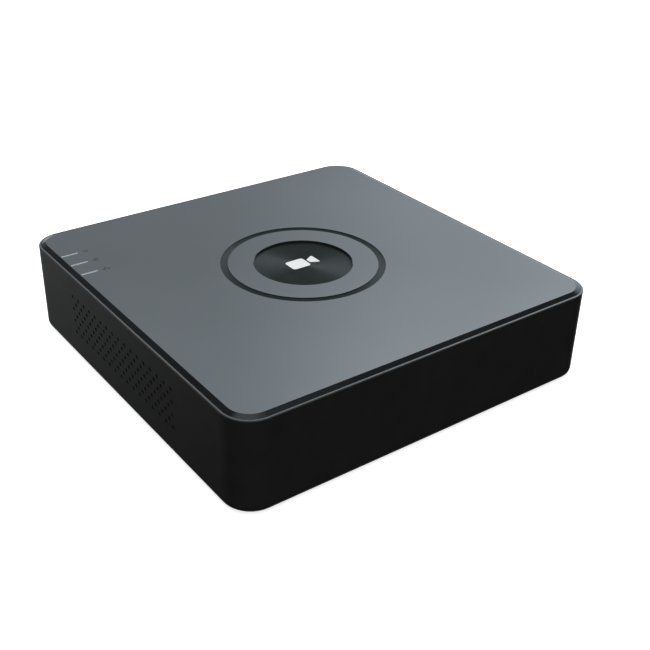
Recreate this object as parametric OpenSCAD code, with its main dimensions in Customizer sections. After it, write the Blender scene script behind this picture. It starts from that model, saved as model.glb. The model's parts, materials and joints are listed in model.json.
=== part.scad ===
// Compact video recorder: a square plastic case with a lift-off cover, a main board behind,
// a 3.5 inch disk drive in front and a steel connector panel at the rear.
// X runs along the front edge, Y from the front to the rear, Z up from the feet.
// The origin is the centre of the whole recorder's footprint, on the surface it stands on.

/* [Case] */
// Outer width of the case
case_w = 200; // [190:1:230]
// Outer depth of the case, without the connectors
case_d = 200; // [195:1:230]
// Overall height, from under the feet to the top of the cover
case_h = 48; // [48:0.5:60]
// Thickness of the case walls and floor
wall = 2.5; // [2:0.1:3]
// Radius of the case's upright corners
corner_r = 14; // [10:0.5:18]
// Radius along the case's lower edges
base_r = 3.5; // [1:0.5:4]
// Height that the feet lift the case
foot_lift = 1; // [0.5:0.1:4]

/* [Cover] */
// Thickness of the cover
cover_t = 2.6; // [2:0.1:3]
// Height that the cover rises above the case's rim
cover_rise = 1; // [0.5:0.1:1.5]
// Width of the case's rim that shows around the cover
rim_w = 1.1; // [0.8:0.1:1.3]
// Width of the sloped border of the cover
bevel_w = 2.4; // [1:0.1:4]
// Outer radius of the ring groove
groove_r = 40.7; // [34:0.1:60]
// Width of the ring groove
groove_w = 3.6; // [2:0.1:6]
// Depth of the ring groove
groove_depth = 0.6; // [0.5:0.1:1]
// Radius of the round recess that holds the badge
dish_r = 24.3; // [15:0.1:30]
// Depth from the cover's top to the badge's edge
dish_depth = 1.2; // [0.5:0.1:1.8]

/* [Indicators] */
// Length of each light bar
bar_len = 8.6; // [5:0.1:12]
// Width of each light bar
bar_w = 1.3; // [1:0.1:2]
// Distance between light bars
bar_pitch = 11.5; // [8:0.5:14]

/* [Side vents] */
// Number of columns of vent holes
vent_cols = 33; // [11:2:35]
// Number of rows of vent holes
vent_rows = 7; // [3:2:9]
// Distance between columns
vent_dy = 3.04; // [2.8:0.02:3.2]
// Distance between rows
vent_dz = 3.27; // [2.8:0.01:3.6]
// Diameter of a vent hole
vent_d = 2; // [1:0.1:2.2]
// Centre of the vents behind the middle of the case
vent_y = 2.1; // [-10:0.1:10]
// Height of the middle row of vents
vent_z = 26; // [22:0.5:27]

/* [Disk drive] */
// Length of the disk drive
drive_l = 147; // [147:1:147]
// Width of the disk drive
drive_w = 101.6; // [101.6:0.1:101.6]
// Height of the disk drive
drive_h = 26.1; // [20:0.1:26.1]

/* [Connectors] */
// Reach of the longest connector beyond the rear of the case
jack_reach = 11; // [9:0.5:14]
// Distance between video sockets, across and up
bnc_pitch = 16.5; // [16:0.1:17]
// Distance between the two jack screws of the monitor socket
vga_pitch = 24.99; // [24.99:0.01:24.99]

/* [Hidden] */
$fn = 96;
small_fn = 48;
eps = 0.01;
gap = 0.3;
case_y = -jack_reach / 2;
rear_y = case_d / 2;
front_y = -case_d / 2;
base_z = foot_lift;
floor_z = base_z + wall;
rim_z = case_h - cover_rise;
seat_z = case_h - cover_t;
corner_x = case_w / 2 - corner_r;
corner_y = case_d / 2 - corner_r;
seat_w = rim_w + 0.1;
lip_h = 3;
rim_r = 0.4;
dish_edge = 0.3;

// Screw columns in the corners
column_x = case_w / 2 - 13;
column_y = case_d / 2 - 13;
column_r = 4.5;
column_top = 14;
screw_r = 1.45;
screw_head_r = 2.8;
screw_head_h = 2.2;
pilot_r = screw_r + 0.05;
pass_r = 1.7;
sink_r = 3.3;

// Rubber feet
foot_x = case_w / 2 - 30;
foot_y = case_d / 2 - 20;
foot_r = 8;
foot_sunk = 0.6;

// Rear window and steel panel
window_w = case_w - 36;
window_z0 = 6;
window_z1 = 41;
panel_t = 1;
panel_w = window_w + 8;
panel_z0 = floor_z;
panel_z1 = seat_z - lip_h - gap;
panel_in = rear_y - wall - panel_t;
panel_out = rear_y - wall;

// Main board
board_t = 1.6;
board_z0 = 8;
board_z = board_z0 + board_t;
board_front = 8;
board_rear = panel_in - 0.1;
board_w = case_w - 12;
notch_x = case_w / 2 - 19;
notch_y = case_d / 2 - 20;
BOARD_SCREWS = [[-86, 36], [86, 36], [-83, 75.5], [83, 75.5], [-20, 14]];

// Disk drive
drive_x0 = -75;
drive_x1 = drive_x0 + drive_l;
drive_y0 = front_y + 3.5;
drive_y1 = drive_y0 + drive_w;
drive_cy = (drive_y0 + drive_y1) / 2;
drive_z0 = floor_z + 2.5;
drive_z1 = drive_z0 + drive_h;
drive_lid_t = 1.1;
drive_pcb_t = 1.2;
DRIVE_HOLES = [[drive_x1 - 41.28, -47.625], [drive_x1 - 41.28, 47.625],
               [drive_x1 - 85.73, -47.625], [drive_x1 - 85.73, 47.625]];
disk_x = drive_x0 + 53;
disk_r = 47.5;
disk_t = 1.3;
disk_z = [drive_z0 + 11, drive_z0 + 17];
arm_x = disk_x + 57;
arm_y = drive_cy - 26;
hub_r = 12.5;
hub_shaft_r = 3;
arm_shaft_r = 2;
deck_z = drive_z0 + 8;
run_clear = 0.05;

// Indicators
bar_x = -case_w / 2 + 8.3;
bar_y = [for (i = [-1:1]) 58.6 + i * bar_pitch];
slot_gap = 0.1;

// Rear connectors
bnc_x = -61;
bnc_z = [16.5, 16.5 + bnc_pitch];
bnc_r = 4.8;
bnc_bore_r = 4.05;
bnc_neck_r = 4.35;
bnc_collar_r = 6.2;
audio_x = -36;
audio_z = [16.5, 33];
audio_r = 4.15;
vga_x = -11.5;
vga_z = board_z + 6.5;
hdmi_x = 15;
hdmi_z = board_z + 3.1;
lan_x = 33;
lan_w = 16;
lan_h = 13.6;
lan_out = panel_out + 1.4;
usb_x = 50.5;
usb_w = 14;
usb_h = 15.4;
term_x = 63;
dc_x = 74.5;
dc_z = board_z + 6.2;
ground_z = 34;

// Leads between the board and the drive
lead_exit = 8;
header_x = 66;
header_z = board_z + 4;
data_y = [drive_cy + 22, 17];
power_y = [drive_cy - 2, 31.5];
drive_plug_z = drive_z0 + 4.2;

// Places its children in the case's own frame, whose origin is under the middle of the case
module in_case() {
  translate([0, case_y, 0]) children();
}

// Repeats its children at the four combinations of +x, -x and +y, -y
module four(x, y) {
  for (sx = [-1, 1], sy = [-1, 1]) translate([sx * x, sy * y, 0]) children();
}

// A box given by its lowest corner and its highest corner
module box(a, b) {
  translate(a) cube(b - a);
}

// A round bar along +Y from y0 to y1
module rod_y(x, z, r, y0, y1) {
  translate([x, y0, z]) rotate([-90, 0, 0]) cylinder(r = r, h = y1 - y0);
}

// An outline in X and Z, extruded along +Y from y0 to y1
module slab_y(x, z, y0, y1) {
  translate([x, y1, z]) rotate([90, 0, 0]) linear_extrude(y1 - y0) children();
}

// Sweeps a profile around the rounded square of the case.
// The profile's x is the distance outwards from the corner's centre, and its y is the height.
module around_case() {
  for (i = [0:3]) {
    along_x = i % 2 == 0 ? corner_y : corner_x;
    out = i % 2 == 0 ? corner_x : corner_y;
    rotate([0, 0, i * 90]) translate([out, along_x, 0]) rotate_extrude(angle = 90) children();
    rotate([0, 0, i * 90]) translate([out, along_x, 0]) rotate([90, 0, 0])
      linear_extrude(2 * along_x) children();
  }
}

// Vent holes through one side wall, in staggered rows
module vent_holes(side) {
  for (row = [0:vent_rows - 1], col = [0:vent_cols - 1])
    if ((row + col) % 2 == 0)
      translate([side * (case_w / 2 + 1), vent_y + (col - (vent_cols - 1) / 2) * vent_dy,
                 vent_z + (row - (vent_rows - 1) / 2) * vent_dz])
        rotate([0, -side * 90, 0]) cylinder(d = vent_d, h = wall + 2, $fn = small_fn);
}

module case_profile() {
  difference() {
    union() {
      translate([0, base_z]) square([corner_r - base_r, rim_z - base_z]);
      translate([0, base_z + base_r]) square([corner_r, rim_z - rim_r - base_z - base_r]);
      translate([corner_r - base_r, base_z + base_r]) circle(base_r);
      translate([0, rim_z - 2 * rim_r]) square([corner_r - rim_r, 2 * rim_r]);
      translate([corner_r - rim_r, rim_z - rim_r]) circle(rim_r);
    }
    translate([-1, floor_z]) square([corner_r - wall + 1, rim_z]);
    translate([-1, seat_z]) square([corner_r - rim_w + 1, rim_z]);
  }
}

// A screw's hole from below, with a sink for its head
module screw_hole(pass, sink, sink_top, top) {
  translate([0, 0, -1]) cylinder(r = pass, h = top + 2, $fn = small_fn);
  translate([0, 0, -1]) cylinder(r = sink, h = sink_top + 1, $fn = small_fn);
}

module bottom_case() {
  head_seat = base_z + screw_head_h + 1.8;
  color([0.03, 0.03, 0.032]) in_case() difference() {
    union() {
      around_case() case_profile();
      box([-corner_x, -corner_y, base_z], [corner_x, corner_y, floor_z]);
      four(column_x, column_y) translate([0, 0, floor_z - eps])
        cylinder(r = column_r, h = column_top - floor_z);
      for (p = BOARD_SCREWS) translate([p.x, p.y, floor_z - eps])
        cylinder(r = 3, h = board_z0 - floor_z + eps);
      for (p = DRIVE_HOLES) translate([p.x, drive_cy + p.y, floor_z - eps])
        cylinder(r = 5, h = drive_z0 - floor_z + eps);
      for (s = [-1, 1]) box([s * (panel_w / 2 + 1) - 1, panel_in - 2.5, floor_z - eps],
                            [s * (panel_w / 2 + 1) + 1, rear_y - wall + eps, 30]);
    }
    for (s = [-1, 1]) vent_holes(s);
    box([-window_w / 2, rear_y - wall - 1, window_z0], [window_w / 2, rear_y + 1, window_z1]);
    four(column_x, column_y) screw_hole(pass_r, sink_r, head_seat, column_top);
    for (p = DRIVE_HOLES) translate([p.x, drive_cy + p.y, 0]) screw_hole(1.8, sink_r, floor_z, drive_z0);
    for (p = BOARD_SCREWS) translate([p.x, p.y, floor_z + 0.5]) cylinder(r = 1.3, h = board_z0);
    four(foot_x, foot_y) translate([0, 0, -1]) cylinder(r = foot_r, h = base_z + foot_sunk + 1);
  }
}

module cover_profile() {
  edge = corner_r - seat_w;
  polygon([[0, seat_z], [edge, seat_z], [edge, rim_z], [edge - bevel_w, case_h], [0, case_h]]);
}

module lip_profile() {
  outer = corner_r - wall - gap;
  translate([outer - 1, seat_z - lip_h]) square([1, lip_h + eps]);
}

module top_cover() {
  recess_z = case_h - dish_depth - 0.5;
  boss_z0 = column_top + gap;
  color([0.05, 0.05, 0.055]) in_case() difference() {
    union() {
      around_case() cover_profile();
      around_case() lip_profile();
      box([-corner_x, -corner_y, seat_z], [corner_x, corner_y, case_h]);
      translate([0, 0, seat_z - 1.2]) cylinder(r = dish_r + 2, h = 1.2 + eps);
      four(column_x, column_y) translate([0, 0, boss_z0]) cylinder(r = 3.6, h = seat_z - boss_z0 + eps);
    }
    translate([0, 0, recess_z]) cylinder(r = dish_r, h = case_h);
    translate([0, 0, case_h]) rotate_extrude()
      polygon([[0, -dish_edge], [dish_r, -dish_edge], [dish_r + dish_edge, 0],
               [dish_r + dish_edge, 1], [0, 1]]);
    rotate_extrude() translate([groove_r - groove_w, case_h - groove_depth]) square([groove_w, 2]);
    four(column_x, column_y) translate([0, 0, boss_z0 - 1])
      cylinder(r = pilot_r, h = 14, $fn = small_fn);
    for (y = bar_y) box([bar_x - bar_len / 2 - slot_gap, y - bar_w / 2 - slot_gap, seat_z - 1],
                        [bar_x + bar_len / 2 + slot_gap, y + bar_w / 2 + slot_gap, case_h + 1]);
  }
}

module badge_disc() {
  edge_z = case_h - dish_depth;
  r = dish_r - 0.05;
  color([0.06, 0.07, 0.07]) in_case() rotate_extrude()
    polygon([[0, edge_z - 0.5], [r, edge_z - 0.5], [r, edge_z], [r - 0.3, edge_z], [0, edge_z - 0.35]]);
}

// The spun ring that lines the groove, a little hollow across its width
module groove_ring() {
  inner = groove_r - groove_w + 0.05;
  outer = groove_r - 0.05;
  z = case_h - groove_depth;
  color([0.06, 0.07, 0.07]) in_case() rotate_extrude()
    polygon([[inner, z], [outer, z], [outer, z + 0.3], [(inner + outer) / 2, z + 0.2], [inner, z + 0.3]]);
}

module light_guide() {
  rail_z = seat_z - 3;
  stem_z = board_z + 2.2;
  color([0.75, 0.78, 0.8]) in_case() {
    for (y = bar_y) {
      box([bar_x - bar_len / 2, y - bar_w / 2, rail_z], [bar_x + bar_len / 2, y + bar_w / 2, case_h]);
      translate([bar_x + 1, y, stem_z]) cylinder(r = 1.3, h = rail_z - stem_z + eps, $fn = small_fn);
    }
    box([bar_x - 0.5, bar_y[0] - 2, rail_z - 1], [bar_x + 2.5, bar_y[2] + 2, rail_z + 1]);
  }
}

module d_outline(grow) {
  top = 8.6 + grow;
  bottom = 7.7 + grow;
  half_h = 4.2 + grow;
  c = 1.6;
  polygon([[-top + c, half_h], [top - c, half_h], [top, half_h - c], [bottom, -half_h + c],
           [bottom - c, -half_h], [-bottom + c, -half_h], [-bottom, -half_h + c], [-top, half_h - c]]);
}

module hdmi_outline(grow) {
  w = 7 + grow;
  h = 2.3 + grow;
  polygon([[-w, h], [w, h], [w, -0.8], [w - 1.6, -h], [-w + 1.6, -h], [-w, -0.8]]);
}

module rear_panel() {
  color([0.2, 0.2, 0.21]) in_case() difference() {
    box([-panel_w / 2, panel_in, panel_z0], [panel_w / 2, panel_out, panel_z1]);
    for (sx = [-1, 1], z = bnc_z)
      rod_y(bnc_x + sx * bnc_pitch / 2, z, bnc_collar_r + 0.3, panel_in - 1, panel_out + 1);
    for (z = audio_z) rod_y(audio_x, z, 5.3, panel_in - 1, panel_out + 1);
    slab_y(vga_x, vga_z, panel_in - 1, panel_out + 1) d_outline(0.5);
    for (s = [-1, 1]) rod_y(vga_x + s * vga_pitch / 2, vga_z, 1.7, panel_in - 1, panel_out + 1);
    slab_y(hdmi_x, hdmi_z, panel_in - 1, panel_out + 1) hdmi_outline(0.9);
    box([lan_x - lan_w / 2 - 0.3, panel_in - 1, board_z - 0.3],
        [lan_x + lan_w / 2 + 0.3, panel_out + 1, board_z + lan_h + 0.3]);
    box([usb_x - usb_w / 2 - 0.3, panel_in - 1, board_z - 0.3],
        [usb_x + usb_w / 2 + 0.3, panel_out + 1, board_z + usb_h + 0.3]);
    box([term_x - 4.3, panel_in - 1, board_z - 0.3], [term_x + 4.3, panel_out + 1, board_z + 9.3]);
    rod_y(dc_x, dc_z, 4.4, panel_in - 1, panel_out + 1);
    rod_y(term_x, ground_z, 1.5, panel_in - 1, panel_out + 1);
  }
}

module rubber_feet() {
  color([0.04, 0.04, 0.04]) in_case() four(foot_x, foot_y) rotate_extrude()
    polygon([[0, 0], [foot_r - 1.2, 0], [foot_r - 0.7, 0.5], [foot_r - 0.2, base_z + foot_sunk],
             [0, base_z + foot_sunk]]);
}

// A pan head screw that points up, with the underside of its head at z = 0
module screw(r, length, head_r, head_h) {
  difference() {
    union() {
      translate([0, 0, -head_h]) cylinder(r = head_r, h = head_h, $fn = small_fn);
      translate([0, 0, -eps]) cylinder(r = r, h = length, $fn = small_fn);
    }
    for (a = [0, 90]) rotate([0, 0, a])
      translate([-head_r * 0.6, -0.3, -head_h - 1]) cube([head_r * 1.2, 0.6, 1 + head_h * 0.6]);
  }
}

module case_screws() {
  color([0.55, 0.55, 0.57]) in_case() four(column_x, column_y)
    translate([0, 0, base_z + screw_head_h + 1.8]) screw(screw_r, 18, screw_head_r, screw_head_h);
}

module main_board() {
  half = board_w / 2;
  color([0.02, 0.22, 0.1]) in_case() difference() {
    translate([0, 0, board_z0]) linear_extrude(board_t)
      polygon([[-half, board_front], [half, board_front], [half, notch_y], [notch_x, notch_y],
               [notch_x, board_rear], [-notch_x, board_rear], [-notch_x, notch_y], [-half, notch_y]]);
    for (p = BOARD_SCREWS) translate([p.x, p.y, board_z0 - 1]) cylinder(r = 1.7, h = board_t + 2);
  }
}

module board_screws() {
  color([0.7, 0.7, 0.72]) in_case() for (p = BOARD_SCREWS)
    translate([p.x, p.y, board_z]) rotate([180, 0, 0]) screw(1.25, 5, 2.9, 1.8);
}

soc = [16, 48];
module soc_chip() {
  color([0.05, 0.05, 0.05]) in_case() translate([soc.x, soc.y, board_z]) {
    translate([-10.5, -10.5, 0.4]) cube([21, 21, 1.2]);
    for (i = [-3:3], j = [-3:3])
      translate([i * 2.6, j * 2.6, 0]) cylinder(r = 0.4, h = 0.4 + eps, $fn = 16);
  }
}

module heat_sink() {
  side = 35;
  fins = 9;
  fin_t = 1.2;
  z = board_z + 1.6;
  color([0.12, 0.12, 0.13]) in_case() translate([soc.x - side / 2, soc.y - side / 2, z]) difference() {
    union() {
      cube([side, side, 2]);
      for (i = [0:fins - 1])
        translate([i * (side - fin_t) / (fins - 1), 0, 2 - eps]) cube([fin_t, side, 8]);
    }
    for (p = [side / 2 - 13, side / 2 + 13]) translate([p, p, -1]) cylinder(r = 2.6, h = 12);
  }
}

module heat_sink_pins() {
  color([0.8, 0.8, 0.78]) in_case() for (s = [-1, 1]) translate([soc.x + s * 13, soc.y + s * 13, board_z])
    rotate_extrude($fn = small_fn)
      polygon([[0, 0], [1.4, 0], [1.4, 5], [2.4, 5], [2.4, 6], [1, 7], [0, 7]]);
}

// A flat chip package with a row of legs along two or four sides
module chip(w, d, h, legs, four_sides) {
  pitch = (d - 2) / legs;
  translate([-w / 2, -d / 2, 0.15]) cube([w, d, h]);
  for (turn = four_sides ? [0, 90] : [0]) rotate([0, 0, turn])
    for (s = [-1, 1], i = [0:legs - 1])
      translate([s * (w / 2 + 0.4) - 0.5, -d / 2 + 1 + (i + 0.3) * pitch, 0]) cube([1, pitch * 0.4, 0.5]);
}

module memory_chips() {
  color([0.05, 0.05, 0.055]) in_case()
    for (x = [-16, 46], y = [38, 56]) translate([x, y, board_z]) chip(11, 14, 1, 9, false);
}

module decoder_chips() {
  color([0.06, 0.06, 0.065]) in_case()
    for (x = [-66, -42]) translate([x, 52, board_z]) chip(15, 15, 1.3, 12, true);
}

module capacitors() {
  color([0.75, 0.75, 0.78]) in_case() {
    for (i = [0:2]) translate([70 + i * 8, 62, board_z]) difference() {
      cylinder(r = 3.15, h = 7.7);
      translate([0, 0, 1.4]) rotate_extrude() translate([3.5, 0]) square([1, 0.6]);
      for (a = [0, 90]) rotate([0, 0, a]) translate([-2, -0.1, 7.5]) cube([4, 0.2, 1]);
    }
    for (i = [0:3]) translate([-74 + i * 9, 70, board_z]) cylinder(r = 2.5, h = 5.4);
  }
}

module inductors() {
  color([0.25, 0.25, 0.27]) in_case() for (i = [0:2]) translate([72 + i * 8, 48, board_z]) difference() {
    translate([-3.3, -3.3, 0]) cube([6.6, 6.6, 3]);
    for (a = [45:90:315]) rotate([0, 0, a]) translate([4.2, -2, -1]) cube([2, 4, 5]);
  }
}

cell = [-52, 26];
cell_r = 10;
module cell_holder() {
  color([0.9, 0.88, 0.82]) in_case() translate([cell.x, cell.y, board_z]) difference() {
    union() {
      cylinder(r = cell_r + 1.6, h = 4);
      translate([-7, -cell_r - 3, 0]) cube([14, 4, 4]);
    }
    translate([0, 0, 1]) cylinder(r = cell_r + 0.1, h = 5);
    translate([-20, -4, 2]) cube([40, 8, 5]);
  }
}

module coin_cell() {
  color([0.75, 0.76, 0.78]) in_case() translate([cell.x, cell.y, board_z + 1])
    rotate_extrude()
      polygon([[0, 0], [9.2, 0], [9.2, 0.4], [cell_r, 0.7], [cell_r, 2.9], [9.7, 3.2], [0, 3.2]]);
}

module status_leds() {
  color([0.9, 0.9, 0.8]) in_case() for (y = bar_y) translate([bar_x + 1, y, board_z]) {
    translate([-1, -1.6, 0]) cube([2, 3.2, 0.7]);
    translate([0, 0, 0.7 - eps]) cylinder(r = 0.9, h = 0.6, $fn = small_fn);
  }
}

module buzzer() {
  color([0.04, 0.04, 0.04]) in_case() translate([-78, 20, board_z]) difference() {
    cylinder(r = 6, h = 8.5);
    translate([0, 0, 7]) cylinder(r = 1.2, h = 3, $fn = small_fn);
    translate([0, 0, 8]) rotate_extrude() translate([4, 0]) square([0.8, 1]);
  }
}

module network_transformer() {
  color([0.05, 0.05, 0.05]) in_case() translate([34, 73.5, board_z]) chip(9, 12.6, 5.6, 8, false);
}

module bnc_housing() {
  half = bnc_pitch / 2 + 8;
  color([0.07, 0.07, 0.07]) in_case() difference() {
    box([bnc_x - half, panel_in - 18, board_z], [bnc_x + half, panel_in, bnc_z[1] + 8]);
    for (sx = [-1, 1], z = bnc_z) rod_y(bnc_x + sx * bnc_pitch / 2, z, 5.2, panel_in - 6, panel_in + 1);
  }
}

// One bayonet video socket: collar, barrel, two lugs, and a stem into the housing
module bnc_shell(x, z) {
  tip = rear_y + jack_reach;
  collar_end = panel_out + 1.6;
  lug_y = tip - 5.2;
  color([0.78, 0.78, 0.8]) in_case() difference() {
    union() {
      rod_y(x, z, 5.2, panel_in - 5.9, panel_in);
      rod_y(x, z, bnc_collar_r, panel_in, collar_end);
      rod_y(x, z, bnc_neck_r, collar_end, lug_y + 1.2);
      rod_y(x, z, bnc_r, lug_y + 1.2, tip);
      translate([x - 5.6, lug_y, z]) rotate([0, 90, 0]) cylinder(r = 0.95, h = 11.2, $fn = small_fn);
    }
    rod_y(x, z, bnc_bore_r, panel_in - 4, tip + 1);
  }
}

module bnc_shell_1() bnc_shell(bnc_x - bnc_pitch / 2, bnc_z[1]);
module bnc_shell_2() bnc_shell(bnc_x + bnc_pitch / 2, bnc_z[1]);
module bnc_shell_3() bnc_shell(bnc_x - bnc_pitch / 2, bnc_z[0]);
module bnc_shell_4() bnc_shell(bnc_x + bnc_pitch / 2, bnc_z[0]);

module bnc_insulators() {
  tip = rear_y + jack_reach;
  color([0.9, 0.9, 0.88]) in_case() for (sx = [-1, 1], z = bnc_z) difference() {
    union() {
      rod_y(bnc_x + sx * bnc_pitch / 2, z, bnc_bore_r - 0.05, panel_in - 4, panel_out + 2);
      rod_y(bnc_x + sx * bnc_pitch / 2, z, 2.4, panel_out + 2 - eps, tip - 2.8);
    }
    rod_y(bnc_x + sx * bnc_pitch / 2, z, 1.15, panel_in - 3, tip);
  }
}

module bnc_contacts() {
  tip = rear_y + jack_reach;
  color([0.8, 0.6, 0.25]) in_case() for (sx = [-1, 1], z = bnc_z) difference() {
    rod_y(bnc_x + sx * bnc_pitch / 2, z, 1.1, panel_in - 3, tip - 3);
    rod_y(bnc_x + sx * bnc_pitch / 2, z, 0.7, panel_out + 1, tip);
  }
}

module audio_housing() {
  color([0.06, 0.06, 0.06]) in_case() difference() {
    box([audio_x - 6, panel_in - 14, board_z], [audio_x + 6, panel_in, audio_z[1] + 6.5]);
    for (z = audio_z) rod_y(audio_x, z, 4.2, panel_in - 6, panel_in + 1);
  }
}

module audio_shell(z) {
  tip = rear_y + 8;
  color([0.8, 0.8, 0.82]) in_case() difference() {
    union() {
      rod_y(audio_x, z, audio_r, panel_in - 5.9, tip);
      rod_y(audio_x, z, 5, panel_in, panel_out + 1);
    }
    rod_y(audio_x, z, 3.45, panel_in - 6.5, tip + 1);
  }
}

module audio_shell_in() audio_shell(audio_z[1]);
module audio_shell_out() audio_shell(audio_z[0]);

module audio_cores() {
  tip = rear_y + 8;
  color([0.85, 0.85, 0.83]) in_case() for (z = audio_z) difference() {
    rod_y(audio_x, z, 3.4, panel_in - 5.5, tip - 0.3);
    rod_y(audio_x, z, 1.65, panel_in - 4, tip + 1);
  }
}

module vga_shell() {
  color([0.72, 0.72, 0.74]) in_case() difference() {
    union() {
      box([vga_x - 15.4, panel_in - 0.8, vga_z - 6.2], [vga_x + 15.4, panel_in, vga_z + 6.2]);
      slab_y(vga_x, vga_z, panel_in - 0.8, rear_y + 3.4) d_outline(0);
    }
    slab_y(vga_x, vga_z, panel_in - 1, rear_y + 4) d_outline(-0.4);
    for (s = [-1, 1]) rod_y(vga_x + s * vga_pitch / 2, vga_z, 1.6, panel_in - 2, panel_out);
  }
}

module vga_insert() {
  back = panel_in - 0.8;
  face = rear_y + 2.9;
  rows = [2.1, 0, -2.1];
  color([0.05, 0.12, 0.5]) in_case() difference() {
    union() {
      box([vga_x - 15, back - 11, board_z], [vga_x + 15, back, vga_z + 6]);
      slab_y(vga_x, vga_z, back - eps, face) d_outline(-0.5);
    }
    for (j = [0:2], i = [-2:2]) {
      x = vga_x + i * 2.29 + (j == 1 ? 0.3 : -0.3);
      rod_y(x, vga_z + rows[j], 0.5, face - 6, face + 1, $fn = 24);
    }
    for (s = [-1, 1]) rod_y(vga_x + s * vga_pitch / 2, vga_z, 1.6, back - 4, back + 1);
  }
}

module vga_jack_screws() {
  color([0.7, 0.7, 0.72]) in_case() for (s = [-1, 1]) difference() {
    union() {
      rod_y(vga_x + s * vga_pitch / 2, vga_z, 2.9, panel_out, panel_out + 5, $fn = 6);
      rod_y(vga_x + s * vga_pitch / 2, vga_z, 1.4, panel_in - 4, panel_out + eps);
    }
    rod_y(vga_x + s * vga_pitch / 2, vga_z, 1.2, panel_out - 0.5, panel_out + 6);
  }
}

module hdmi_shell() {
  color([0.75, 0.75, 0.77]) in_case() difference() {
    slab_y(hdmi_x, hdmi_z, panel_in - 10, panel_out + 0.8) hdmi_outline(0.4);
    slab_y(hdmi_x, hdmi_z, panel_in - 9.6, panel_out + 1) hdmi_outline(0);
  }
}

module hdmi_tongue() {
  color([0.03, 0.03, 0.03]) in_case() {
    box([hdmi_x - 5.2, panel_in - 9.6, hdmi_z - 0.5], [hdmi_x + 5.2, panel_out - 0.6, hdmi_z + 0.6]);
    box([hdmi_x - 5.2, panel_in - 9.6, hdmi_z - 2.2], [hdmi_x + 5.2, panel_in - 7, hdmi_z + 2.2]);
  }
}

module lan_shield() {
  t = 0.25;
  color([0.76, 0.76, 0.78]) in_case() difference() {
    box([lan_x - lan_w / 2, lan_out - 17, board_z], [lan_x + lan_w / 2, lan_out, board_z + lan_h]);
    box([lan_x - lan_w / 2 + t, lan_out - 17 + t, board_z - 1],
        [lan_x + lan_w / 2 - t, lan_out + 1, board_z + lan_h - t]);
  }
}

module lan_insert() {
  half = lan_w / 2 - 0.3;
  top = board_z + lan_h - 0.3;
  color([0.05, 0.05, 0.05]) in_case() difference() {
    box([lan_x - half, lan_out - 16.7, board_z], [lan_x + half, lan_out - 0.2, top]);
    box([lan_x - 5.9, lan_out - 13, board_z + 3.6], [lan_x + 5.9, lan_out + 1, board_z + 10.4]);
    box([lan_x - 3.1, lan_out - 13, board_z + 1.2], [lan_x + 3.1, lan_out + 1, board_z + 3.6 + eps]);
  }
}

module usb_shell() {
  half = usb_w / 2;
  out = panel_out + 1;
  color([0.76, 0.76, 0.78]) in_case() difference() {
    box([usb_x - half, out - 17, board_z], [usb_x + half, out, board_z + usb_h]);
    for (z = [board_z + 1.2, board_z + 9.1])
      box([usb_x - 6.3, out - 16.5, z], [usb_x + 6.3, out + 1, z + 5.1]);
  }
}

module usb_tongues() {
  out = panel_out + 1;
  color([0.93, 0.93, 0.92]) in_case() for (z = [board_z + 1.2, board_z + 9.1]) {
    box([usb_x - 5.6, out - 16.5, z + 3], [usb_x + 5.6, out - 1.5, z + 4.7]);
    box([usb_x - 6.2, out - 16.5, z + 0.1], [usb_x + 6.2, out - 11, z + 5]);
  }
}

module terminal_block() {
  out = panel_out + 2.5;
  color([0.05, 0.4, 0.2]) in_case() difference() {
    union() {
      box([term_x - 4, out - 12, board_z], [term_x + 4, out, board_z + 6.5]);
      box([term_x - 4, out - 12, board_z + 6.5 - eps], [term_x + 4, out - 2, board_z + 9]);
    }
    for (x = [term_x - 1.9, term_x + 1.9]) {
      box([x - 1.3, out - 8, board_z + 1.4], [x + 1.3, out + 1, board_z + 4.6]);
      translate([x, out - 6, board_z + 5.4]) cylinder(r = 1.45, h = 8, $fn = small_fn);
    }
  }
}

module terminal_screws() {
  out = panel_out + 2.5;
  color([0.75, 0.75, 0.77]) in_case() for (s = [-1, 1])
    translate([term_x + s * 1.9, out - 6, board_z + 5.4]) difference() {
      cylinder(r = 1.4, h = 2.6, $fn = small_fn);
      translate([-2, -0.2, 2]) cube([4, 0.4, 2]);
    }
}

module power_jack() {
  color([0.05, 0.05, 0.05]) in_case() difference() {
    union() {
      box([dc_x - 4.6, panel_in - 13, board_z], [dc_x + 4.6, panel_in, board_z + 11]);
      rod_y(dc_x, dc_z, 4.2, panel_in - eps, panel_out + 1);
    }
    rod_y(dc_x, dc_z, 3.1, panel_in - 9, panel_out + 2);
  }
}

module power_pin() {
  color([0.8, 0.78, 0.7]) in_case() {
    rod_y(dc_x, dc_z, 1.05, panel_in - 9, panel_out - 0.6);
    rod_y(dc_x, dc_z, 3, panel_in - 9, panel_in - 8.5);
  }
}

module ground_screw() {
  color([0.7, 0.7, 0.72]) in_case() translate([term_x, panel_out, ground_z]) {
    rotate([90, 0, 0]) translate([0, 0, -0.8]) screw(1.45, 6, 3, 2);
    difference() {
      rod_y(0, 0, 3.8, 0, 0.6);
      rod_y(0, 0, 1.55, -1, 2);
    }
  }
}

module drive_headers() {
  color([0.85, 0.83, 0.78]) in_case() {
    for (header = [[data_y[1], 8], [power_y[1], 5.5]]) {
      y = header[0];
      half = header[1];
      difference() {
        box([header_x - 8, y - half, board_z], [header_x, y + half, header_z + 3]);
        box([header_x - 5, y - half + 0.9, header_z - 2.1], [header_x + 1, y + half - 0.9, header_z + 2.1]);
      }
    }
  }
}

// The plug at one end of a lead: a nose in the socket, and a wider grip behind it
module plug(x, y, z, half_w, grip) {
  box([x - 4, y - half_w + 1, z - 1.8], [x, y + half_w - 1, z + 1.8]);
  box([x, y - half_w, z - 2.4], [x + grip, y + half_w, z + 2.4]);
}

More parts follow.
